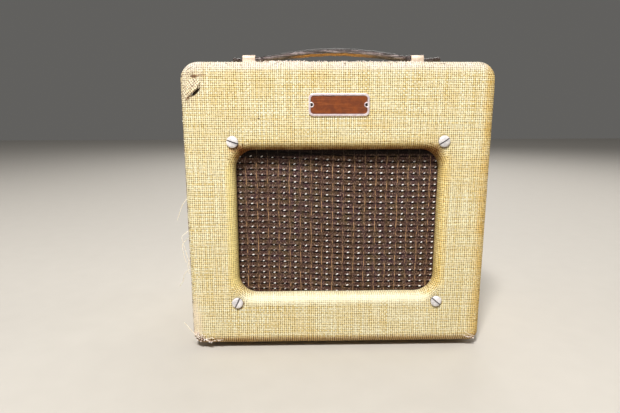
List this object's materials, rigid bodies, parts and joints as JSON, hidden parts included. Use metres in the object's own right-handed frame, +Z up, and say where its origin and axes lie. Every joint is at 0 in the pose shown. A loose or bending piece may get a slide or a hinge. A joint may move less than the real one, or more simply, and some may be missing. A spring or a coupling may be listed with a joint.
{
  "type": "guitar amplifier",
  "caption": "Small cloth-covered guitar amplifier with a round-cornered speaker opening, a valve chassis behind and a strap handle in metal loops.",
  "frame": {"origin": "middle of the floor under the part, on the plane that the four foot glides stand on", "axes": "+Z up, +X to the right as seen from the front, +Y from the front to the back; the front faces -Y"},
  "size_m": [0.305, 0.1929, 0.3156],
  "materials": {
    "pine": "bare sanded pine",
    "plywood": "bare plywood",
    "linen": "lacquered plain-weave linen",
    "grille": "open figured grille cloth",
    "nickel": "worn nickel plate",
    "enamel": "stamped plate with red-brown enamel",
    "leather": "dark leather with a worn sheen",
    "steel": "plated sheet steel",
    "knob": "moulded brown plastic",
    "jewel": "red faceted jewel",
    "rubber": "matt rubber",
    "iron": "varnished laminations and magnet iron",
    "bakelite": "moulded bakelite",
    "tube_glass": "clear glass bulb on a dark base",
    "fibre": "waxed fibre board",
    "cone_paper": "pressed felted paper",
    "spider_cloth": "resin-stiffened cloth",
    "copper": "enamelled copper wire on a former"
  },
  "bodies": {
    "cabinet": {"top_board": "pine", "bottom_board": "pine", "left_board": "pine", "right_board": "pine", "front_panel": "pine", "linen_cover": "linen", "baffle_board": "plywood", "grille_cloth": "grille", "baffle_screw_top_left": "nickel", "baffle_screw_top_right": "nickel", "baffle_screw_bottom_left": "nickel", "baffle_screw_bottom_right": "nickel", "name_plate": "enamel", "foot_glide_front_left": "nickel", "foot_glide_front_right": "nickel", "foot_glide_rear_left": "nickel", "foot_glide_rear_right": "nickel", "rear_panel": "plywood", "rear_cleat_left": "pine", "rear_cleat_right": "pine", "rear_panel_screw_left_bottom": "nickel", "rear_panel_screw_left_top": "nickel", "rear_panel_screw_right_bottom": "nickel", "rear_panel_screw_right_top": "nickel", "handle_loop_left": "nickel", "handle_loop_right": "nickel", "loop_screw_left_front": "nickel", "loop_screw_left_rear": "nickel", "loop_screw_right_front": "nickel", "loop_screw_right_rear": "nickel", "chassis": "steel", "chassis_screw_left": "nickel", "chassis_screw_right": "nickel", "input_jack_1": "nickel", "input_jack_2": "nickel", "volume_pot": "steel", "pilot_lamp_holder": "nickel", "pilot_jewel": "jewel", "cord_grommet": "rubber", "power_transformer": "iron", "output_transformer": "iron", "socket_rectifier": "bakelite", "socket_power": "bakelite", "socket_preamp": "bakelite", "tube_rectifier": "tube_glass", "tube_power": "tube_glass", "tube_preamp": "tube_glass", "circuit_board": "fibre", "filter_capacitor": "fibre", "speaker_frame": "steel", "speaker_magnet": "iron", "speaker_surround": "cone_paper", "speaker_spider": "spider_cloth"},
    "handle_grip": {"strap_middle": "leather"},
    "strap_end_left": {"strap_side_left": "leather"},
    "strap_end_right": {"strap_side_right": "leather"},
    "volume_control": {"volume_shaft": "nickel", "volume_knob": "knob"},
    "cone": {"speaker_cone": "cone_paper", "voice_coil": "copper"}
  },
  "joints": [
    {"name": "handle_lift", "type": "slide", "parent": "cabinet", "child": "handle_grip", "axis": [0, 0, 1], "range_m": [0, 0.02]},
    {"name": "strap_left_slide", "type": "slide", "parent": "handle_grip", "child": "strap_end_left", "axis": [0.1338, 0, -0.991], "range_m": [0, 0.0204], "deforming": ["strap_side_left"]},
    {"name": "strap_right_slide", "type": "slide", "parent": "handle_grip", "child": "strap_end_right", "axis": [-0.4717, 0, -0.8817], "range_m": [0, 0.0229], "deforming": ["strap_side_right"]},
    {"name": "volume_turn", "type": "hinge", "parent": "cabinet", "child": "volume_control", "pos_m": [0.008, 0.0725, 0.2544], "axis": [0, -1, 0], "range_deg": [0, 300]},
    {"name": "cone_travel", "type": "slide", "parent": "cabinet", "child": "cone", "axis": [0, 1, 0], "range_m": [-0.0015, 0.0015], "stiffness_N_per_m": 2000, "deforming": ["speaker_surround", "speaker_spider"]}
  ],
  "couplings": [
    {"joint": "strap_left_slide", "follows": "handle_lift", "ratio": 1.0091},
    {"joint": "strap_right_slide", "follows": "handle_lift", "ratio": 1.1341}
  ]
}
